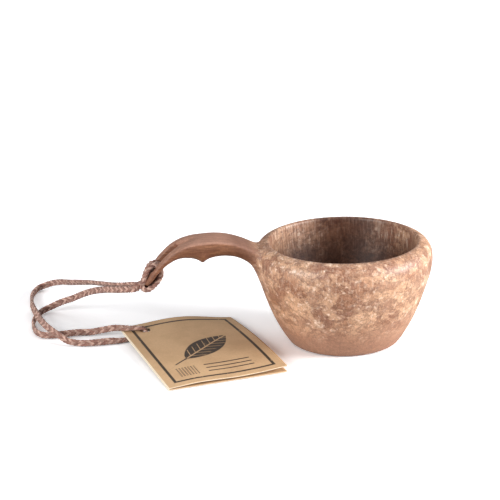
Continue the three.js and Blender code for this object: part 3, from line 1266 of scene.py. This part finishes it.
@dataclass
class Cup:
    """Bowl and arched handle in one piece, with an eyelet in the handle's tail."""

    finish: bpy.types.Material
    voxel: float = 0.72 * MM
    fillet: float = 3.0 * MM
    lip: float = 0.9 * MM
    eyelet_round: float = 1.2 * MM
    edge_level: float = 0.8
    crown_power: float = 2.7
    belly_power: float = 2.1
    notch: tuple[float, float, float] = (77.3, 3.8, 3.0)
    slot_size: tuple[float, float, float] = (18.2, 8.6, 2.0)
    slot_centre: tuple[float, float] = (97.5, 51.0)
    slot_tilt: float = 49.5
    tail_start: float = -78.0 * MM
    handle_start: float = -33.0 * MM
    handle_reach: float = 30.0 * MM
    handle_bottom: float = 15.0 * MM
    handle_deepest: float = 13.0 * MM
    groove_radii: tuple[float, float] = (3.9 * MM, 4.0 * MM)
    groove_round: float = 1.5 * MM
    inner_fade: float = 3.0 * MM
    passes: tuple[int, ...] = (3, 3, 2, 1)

    OUTER = (
        (31.0, 1.9), (33.5, 5.6), (37.4, 12.5), (41.5, 21.8), (44.9, 31.5), (47.5, 40.0),
        (48.5, 46.8), (47.9, 52.0), (45.3, 55.6), (41.8, 57.2),
    )
    INNER = (
        (40.4, 56.2), (40.1, 50.0), (39.4, 42.0), (37.9, 34.0), (35.5, 26.0), (31.8, 18.5),
        (26.0, 12.2), (17.5, 8.2), (8.0, 6.3),
    )
    # Side view of the handle: reach and height on top, reach and height underneath, half width.
    STATIONS = (
        (24.0, 48.0, 24.0, 28.0, 9.0), (38.0, 51.0, 36.5, 27.0, 11.6), (43.0, 53.6, 40.8, 31.5, 12.2),
        (46.5, 55.2, 44.6, 37.2, 12.0), (50.0, 56.8, 48.2, 42.2, 11.5),
        (54.5, 58.9, 52.5, 47.4, 10.9), (60.0, 60.9, 58.5, 50.8, 10.6),
        (66.0, 62.3, 65.0, 52.0, 10.5), (72.5, 62.8, 72.0, 51.9, 10.5), (79.3, 62.5, 79.3, 51.8, 10.5),
        (85.0, 61.4, 85.0, 52.0, 10.5), (90.0, 59.6, 88.8, 51.9, 10.4), (94.2, 57.1, 92.2, 51.0, 10.2),
        (98.0, 53.7, 95.9, 49.0, 10.0), (101.4, 50.1, 98.9, 46.7, 9.6), (104.4, 46.1, 101.6, 43.6, 8.8),
        (107.0, 41.9, 104.2, 40.1, 7.4), (108.9, 38.5, 106.6, 37.3, 5.0),
    )
    TIP = (-108.6, 0.0, 36.7)
    GROOVE = ((-94.5, 0.0, 59.6), (-83.0, 0.0, 66.0))

    def bowl_outline(self) -> Array:
        """Closed outline of the bowl without its hollow, in (radius, height)."""
        side = smooth_line(((28.0, 0.0), (29.8, 0.6), *self.OUTER), 0.8, 2)
        return np.concatenate([[(0.0, 0.0)], side, [(0.0, 57.2)]]) * MM

    def hollow_outline(self) -> Array:
        """Closed outline of the drink's space, carried on upwards, in (radius, height)."""
        side = smooth_line(self.INNER, 0.8, 2)[::-1]
        return np.concatenate([[(0.0, 6.0)], side, [(41.0, 58.5), (41.2, 80.0), (0.0, 80.0)]]) * MM

    def handle_ring(self, station: Array, sides: int) -> list[tuple[float, float, float]]:
        """One section of the handle, flat-crowned on top and rounded underneath.

        Args:
            station: Reach and height on top and underneath, and half the width, in millimetres.
            sides: How many points the ring has.

        Returns:
            The ring's points in metres.
        """
        top, under, half = station[:2], station[2:4].copy(), station[4]
        reach, depth, spread = self.notch
        under[1] -= depth * math.exp(-abs(under[0] - reach) / spread)
        edge = under + (top - under) * self.edge_level
        ring = []
        for side in range(sides):
            angle = 2 * math.pi * side / sides
            upper = math.sin(angle) > 0
            power = 2 / (self.crown_power if upper else self.belly_power)
            lift = abs(math.sin(angle)) ** power
            wide = math.copysign(abs(math.cos(angle)) ** power, math.cos(angle))
            place = edge + ((top if upper else under) - edge) * lift
            ring.append((-place[0] * MM, half * wide * MM, place[1] * MM))
        return ring

    def handle_tree(self, sides: int = 56) -> BVHTree:
        """Search tree of the handle's closed skin.

        Args:
            sides: How many points each section has.

        Returns:
            The tree.
        """
        rows = smooth_line(self.STATIONS, 0.55, 4)
        rings = [self.handle_ring(row, sides) for row in rows]
        points = [point for ring in rings for point in ring]
        root, tip = len(points), len(points) + 1
        points += [tuple(np.mean(rings[0], axis=0)), tuple(np.array(self.TIP) * MM)]
        faces = []
        last = (len(rings) - 1) * sides
        for side in range(sides):
            after = (side + 1) % sides
            for start in range(0, last, sides):
                ahead = start + sides
                faces.append((start + side, ahead + side, ahead + after, start + after))
            faces.append((root, side, after))
            faces.append((tip, last + after, last + side))
        return BVHTree.FromPolygons(points, faces)

    def slot_field(self, points: Array) -> Field:
        """Field of the eyelet's straight-sided, round-cornered hole.

        Args:
            points: Places in metres.

        Returns:
            The field at the points.
        """
        tilt = math.radians(self.slot_tilt)
        length, width, corner = (value * MM for value in self.slot_size)
        centre = np.array([-self.slot_centre[0], 0.0, self.slot_centre[1]]) * MM
        down = np.array([-math.cos(tilt), 0.0, -math.sin(tilt)])
        along, beside = (points - centre) @ down, points[:, 1]
        over = np.stack([np.abs(along) - length / 2, np.abs(beside) - width / 2], axis=1) + corner
        outside = np.maximum(over, 0.0)
        gap = np.linalg.norm(outside, axis=1)
        distance = gap + np.minimum(over.max(axis=1), 0.0) - corner
        distance = np.where(points[:, 0] < self.tail_start, distance, 40 * MM)
        nearer = over >= over.max(axis=1)[:, None]
        flat = np.where(gap[:, None] > 1e-9, outside / np.maximum(gap, 1e-9)[:, None], nearer)
        flat = flat * np.sign(np.stack([along, beside], axis=1))
        return Field(distance, flat[:, :1] * down + flat[:, 1:] * np.array([0.0, 1.0, 0.0]))

    def field(self, points: Array, tree: BVHTree) -> tuple[Field, Field]:
        """Fields of the whole cup and of the drink's space.

        Args:
            points: Places in metres.
            tree: Search tree of the handle.

        Returns:
            The cup's field and the hollow's.
        """
        bowl = turned_field(points, self.bowl_outline())
        hollow = turned_field(points, self.hollow_outline())
        near = (points[:, 0] < self.handle_start) & (points[:, 2] > self.handle_bottom)
        near &= np.abs(points[:, 1]) < self.handle_reach
        handle = mesh_field(points, tree, near, self.handle_deepest)
        body = bowl.joined(handle, self.fillet).cut_by(hollow, self.lip)
        start, end = np.array(self.GROOVE) * MM
        groove = rod_field(points, start, end, self.groove_radii)
        body = body.cut_by(groove, self.groove_round)
        return body.cut_by(self.slot_field(points), self.eyelet_round), hollow

    def build(self) -> bpy.types.Object:
        """Remeshes the CAD solid finely and draws it onto the smooth, filleted shape.

        Returns:
            The cup.
        """
        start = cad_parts["cup"].data.copy()
        shell = bmesh.new()
        shell.from_mesh(start)
        bmesh.ops.remove_doubles(shell, verts=shell.verts, dist=1e-6)
        shell.to_mesh(start)
        shell.free()
        start.materials.clear()
        source = make_object("cup_source", start)
        remesh = source.modifiers.new("even", "REMESH")
        remesh.mode = "VOXEL"
        remesh.voxel_size = self.voxel
        mesh = frozen(source, "cup_wood")
        points = vertex_places(mesh)
        ends = np.empty(len(mesh.edges) * 2, np.int32)
        mesh.edges.foreach_get("vertices", ends)
        ends = ends.reshape(-1, 2)
        tree = self.handle_tree()
        for relax in self.passes:
            points = self.relaxed(points, ends, relax)
            body, _ = self.field(points, tree)
            length = np.maximum((body.direction**2).sum(axis=1), 0.3)
            points = points - body.direction * (body.distance / length)[:, None]
        points = self.relaxed(points, ends, 1)
        points[:, 2] = np.maximum(points[:, 2], 0.0)
        _, hollow = self.field(points, tree)
        mesh.vertices.foreach_set("co", points.astype(np.float32).ravel())
        # The inside value drives the painted shade inside the bowl and the strokes on its wall.
        set_values(mesh, "inside", np.clip(1.0 - hollow.distance / self.inner_fade, 0.0, 1.0))
        shade_smooth(mesh)
        mesh.materials.clear()
        mesh.materials.append(self.finish)
        mesh.update()
        cup = make_object("cup_wood", mesh)
        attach(cup, Body.CUP.value)
        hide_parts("cup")
        return cup

    def relaxed(self, points: Array, ends: Array, rounds: int) -> Array:
        """Moves each vertex half way to the middle of its neighbours.

        Args:
            points: Vertex places.
            ends: The two vertices of each edge.
            rounds: How many times.

        Returns:
            The new places.
        """
        count = np.bincount(ends.ravel(), minlength=len(points))
        for _ in range(rounds):
            total = np.empty_like(points)
            for axis in range(3):
                column = points[:, axis]
                one = np.bincount(ends[:, 0], column[ends[:, 1]], len(points))
                total[:, axis] = one + np.bincount(ends[:, 1], column[ends[:, 0]], len(points))
            points = 0.5 * points + 0.5 * total / count[:, None]
        return points


# ---- tag -----------------------------------------------------------------------------------


@dataclass
class Tag:
    """Card folded once, with a hole through both leaves."""

    finish: bpy.types.Material
    width: float = 66.0
    length: float = 88.5
    thickness: float = 0.38
    grid: float = 1.0
    hole: tuple[float, float, float] = (12.5, 10.0, 2.5)
    hole_place: tuple[float, float, float] = (-108.7, 15.5, 3.0)
    turn: float = 14.8
    slope: float = 2.08
    back_height: float = 0.22
    fold_radius: float = 0.45
    dome: float = 1.3
    bow: float = 2.2
    front_sag: float = 3.6
    back_sag: float = 3.0
    lowest: float = 0.02
    smoothings: int = 12

    # Front leaf above the back leaf: distance from the fold, height at the foot, height at the top.
    LIFT = (
        (0.0, 0.9, 0.9), (8.0, 1.5, 1.0), (16.0, 2.1, 1.1), (26.0, 2.0, 1.4), (38.0, 1.6, 1.7),
        (52.0, 2.1, 1.6), (66.0, 3.4, 1.1),
    )

    def section(self) -> Array:
        """Steps along the sheet from the back leaf's free edge round the fold to the front's.

        Returns:
            Rows of distance from the fold, signed by leaf, with the fold's turn as a share.
        """
        leaf = np.linspace(self.width, self.fold_radius, round(self.width / self.grid))
        back = np.stack([-leaf, np.zeros_like(leaf)], axis=1)
        turns = np.linspace(0, 1, 9)[1:-1]
        fold = np.stack([(turns - 0.5) * 0.2, turns], axis=1)
        front = np.stack([leaf[::-1], np.ones_like(leaf)], axis=1)
        return np.concatenate([back, fold, front])

    def place(self, along: float, share: float, up: float) -> tuple[float, float, float]:
        """Place of a point of the sheet in the tag's own frame, in millimetres.

        Args:
            along: Distance from the fold, below 0 on the back leaf.
            share: 0 on the back leaf, 1 on the front leaf, between the two round the fold.
            up: Distance up from the foot.

        Returns:
            Distance from the fold, distance up from the foot, and height.
        """
        knots = np.array(self.LIFT)
        far = abs(along) / self.width
        high = up / self.length
        if 0 < share < 1:
            angle = math.pi * (share - 0.5)
            across = self.fold_radius - self.fold_radius * math.cos(angle)
            height = self.back_height + self.fold_radius + self.fold_radius * math.sin(angle)
        else:
            across = abs(along)
            height = self.back_height
            if share == 1:
                foot = np.interp(across, knots[:, 0], knots[:, 1])
                top = np.interp(across, knots[:, 0], knots[:, 2])
                height += foot + (top - foot) * high
                height += self.dome * math.sin(math.pi * high) * far**2
        bow = self.bow * math.sin(math.pi * far) ** 2 * high**2
        sag = (self.front_sag if share == 1 else self.back_sag) * far**1.5 * high**1.5
        return across, up, height + bow - sag

    def smoothed(self, points: Array, rows: int, columns: int) -> Array:
        """Rounds off the corners between the leaf's knots.

        Args:
            points: Grid of places.
            rows: Points along the section.
            columns: Points up the page.

        Returns:
            The grid with smoother heights.
        """
        heights = points[:, 2].reshape(rows, columns)
        leaf = np.ones(rows - 2, bool)
        middle = rows // 2
        leaf[middle - 6 : middle + 5] = False
        for _ in range(self.smoothings):
            inner = (heights[:-2] + heights[2:]) / 2
            heights[1:-1][leaf] = 0.5 * heights[1:-1][leaf] + 0.5 * inner[leaf]
        points[:, 2] = heights.ravel()
        return points

    def build(self) -> bpy.types.Object:
        """Builds the folded sheet with its thickness and hole.

        Returns:
            The tag.
        """
        section = self.section()
        ups = np.linspace(0, self.length, round(self.length / self.grid) + 1)
        rows, columns = len(section), len(ups)
        grid = np.array([self.place(along, share, up) for along, share in section for up in ups])
        grid = self.smoothed(grid, rows, columns)
        across = np.repeat(section[:, 0], columns)
        up = np.tile(ups, rows)
        index = np.arange(rows * columns).reshape(rows, columns)
        corners = [index[:-1, :-1], index[1:, :-1], index[1:, 1:], index[:-1, 1:]]
        quads = np.stack(corners, axis=-1).reshape(-1, 4)
        from_fold, from_top, radius = self.hole
        offset = np.stack([np.abs(across) - from_fold, up - (self.length - from_top)], axis=1)
        gap = np.linalg.norm(offset, axis=1)
        kept = (gap[quads] >= radius - 0.45 * self.grid).all(axis=1)
        rim = np.intersect1d(quads[kept].ravel(), quads[~kept].ravel())
        grid[rim, :2] += offset[rim] * ((radius - gap[rim]) / gap[rim])[:, None]
        quads = quads[kept]
        outward = self.normals(grid, quads)
        half = self.thickness / 2
        count = len(grid)
        points = np.concatenate([grid + outward * half, grid - outward * half])
        points[:, 0] -= from_fold
        points[:, 1] -= self.length - from_top
        tilt = Matrix.Rotation(math.radians(self.turn), 3, "Z")
        tilt = tilt @ Matrix.Rotation(math.radians(self.slope), 3, "X")
        points = points @ np.array(tilt).T + np.array(self.hole_place)
        points[:, 2] = np.maximum(points[:, 2], self.lowest)
        faces = np.concatenate([quads, quads[:, ::-1] + count, self.walls(quads, count)])
        used, faces = np.unique(faces, return_inverse=True)
        mesh = make_mesh("tag_card", points[used] * MM, faces.reshape(-1, 4).tolist())
        set_values(mesh, "across", np.tile(across, 2)[used])
        set_values(mesh, "up", np.tile(up, 2)[used])
        set_values(mesh, "outer", np.repeat([1.0, 0.0], count)[used])
        mesh.materials.append(self.finish)
        tag = make_object("tag_card", mesh)
        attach(tag, Body.TAG.value)
        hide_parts("tag_back_leaf", "tag_front_leaf")
        return tag

    def normals(self, points: Array, quads: Array) -> Array:
        """Directions out of the sheet's outer face at each point.

        Args:
            points: Places.
            quads: Faces of the outer side.

        Returns:
            One unit vector a point.
        """
        a, b, c, d = (points[quads[:, corner]] for corner in range(4))
        face = np.cross(c - a, d - b)
        total = np.zeros_like(points)
        for corner in range(4):
            for axis in range(3):
                total[:, axis] += np.bincount(quads[:, corner], face[:, axis], len(points))
        return total / np.maximum(np.linalg.norm(total, axis=1), 1e-12)[:, None]

    def walls(self, quads: Array, count: int) -> Array:
        """Faces that close the sheet's edges and its hole.

        Args:
            quads: Faces of the outer side.
            count: How far the inner side's points are from the outer side's.

        Returns:
            The wall faces.
        """
        sides = np.concatenate([quads[:, (i, (i + 1) % 4)] for i in range(4)]).tolist()
        once = {tuple(side) for side in sides}
        free = [(a, b) for a, b in sides if (b, a) not in once]
        return np.array([(b, a, a + count, b + count) for a, b in free])


# ---- assembly ------------------------------------------------------------------------------


def main() -> None:
    """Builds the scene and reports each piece."""
    logging.basicConfig(level=logging.INFO, format="%(message)s")
    blotches, fibres = blotch_group(), fibre_group()
    studio = Studio()
    studio.camera()
    lace = Lace(braid_tree(), BraidedLace().material())
    pieces = Lanyard(lace).build()
    pieces.append(Cup(BurlWood(blotches, fibres).material()).build())
    pieces.append(Tag(KraftCard(fibres).material()).build())
    studio.build()
    for piece in pieces:
        LOG.info("%s: %d faces", piece.name, len(piece.data.polygons))
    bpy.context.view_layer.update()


if __name__ == "__main__":
    main()
